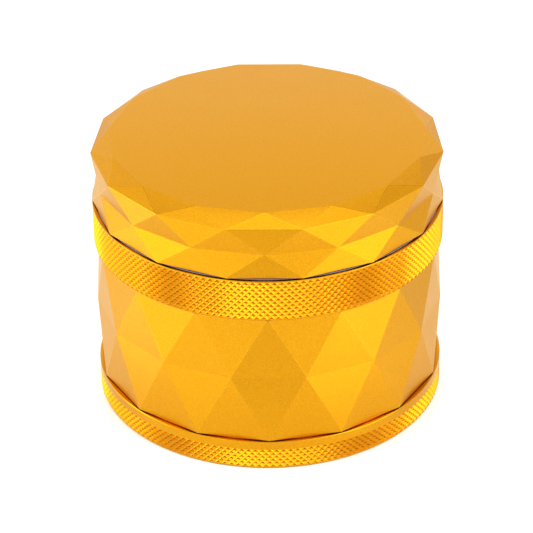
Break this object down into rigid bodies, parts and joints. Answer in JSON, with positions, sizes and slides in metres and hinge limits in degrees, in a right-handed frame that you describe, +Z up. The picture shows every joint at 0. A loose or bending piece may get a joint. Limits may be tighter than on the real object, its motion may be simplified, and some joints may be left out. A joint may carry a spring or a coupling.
{
  "type": "herb grinder",
  "caption": "Round screw-together grinder with faceted lid and body, knurled rings, toothed chamber, sieve and catch cup.",
  "frame": {"origin": "middle of the flat face that the catch cup stands on", "axes": "+Z up along the turning axis of every piece, -Y towards the front corner of the faceted body"},
  "size_m": [0.063, 0.063, 0.0502],
  "materials": {
    "gold_anodised": "satin gold anodised, finely turned",
    "bare_aluminium": "turned, uncoated",
    "stainless_mesh": "woven wire",
    "spring_steel": "drawn wire",
    "nickel_plate": "bright nickel plate",
    "glide_plastic": "pale grey acetal"
  },
  "bodies": {
    "cup": {"base_cup": "gold_anodised"},
    "sieve": {"sieve_rim": "bare_aluminium", "sieve_mesh": "stainless_mesh"},
    "collector": {"collector_body": "gold_anodised", "sieve_clip": "spring_steel"},
    "chamber_lift": {"chamber_magnet": "nickel_plate"},
    "chamber": {"grinding_chamber": "gold_anodised"},
    "glide": {"glide_ring": "glide_plastic"},
    "lid": {"lid_shell": "gold_anodised", "lid_magnet": "nickel_plate"}
  },
  "joints": [
    {"name": "body_thread_rise", "type": "slide", "parent": "cup", "child": "sieve", "axis": [0, 0, 1], "range_m": [0, 0.0045]},
    {"name": "body_unscrew", "type": "hinge", "parent": "sieve", "child": "collector", "pos_m": [0, 0, 0], "axis": [0, 0, 1], "range_deg": [0, 1084]},
    {"name": "chamber_thread_rise", "type": "slide", "parent": "collector", "child": "chamber_lift", "axis": [0, 0, 1], "range_m": [0, 0.00525]},
    {"name": "chamber_unscrew", "type": "hinge", "parent": "chamber_lift", "child": "chamber", "pos_m": [0, 0, 0], "axis": [0, 0, 1], "range_deg": [0, 1264]},
    {"name": "lid_lift", "type": "slide", "parent": "chamber", "child": "glide", "axis": [0, 0, 1], "range_m": [0, 0.02]},
    {"name": "lid_spin", "type": "hinge", "parent": "glide", "child": "lid", "pos_m": [0, 0, 0], "axis": [0, 0, 1], "continuous": true}
  ],
  "couplings": [
    {"joint": "body_unscrew", "follows": "body_thread_rise", "rad_per_m": 4188.8},
    {"joint": "chamber_unscrew", "follows": "chamber_thread_rise", "rad_per_m": 4188.8}
  ]
}
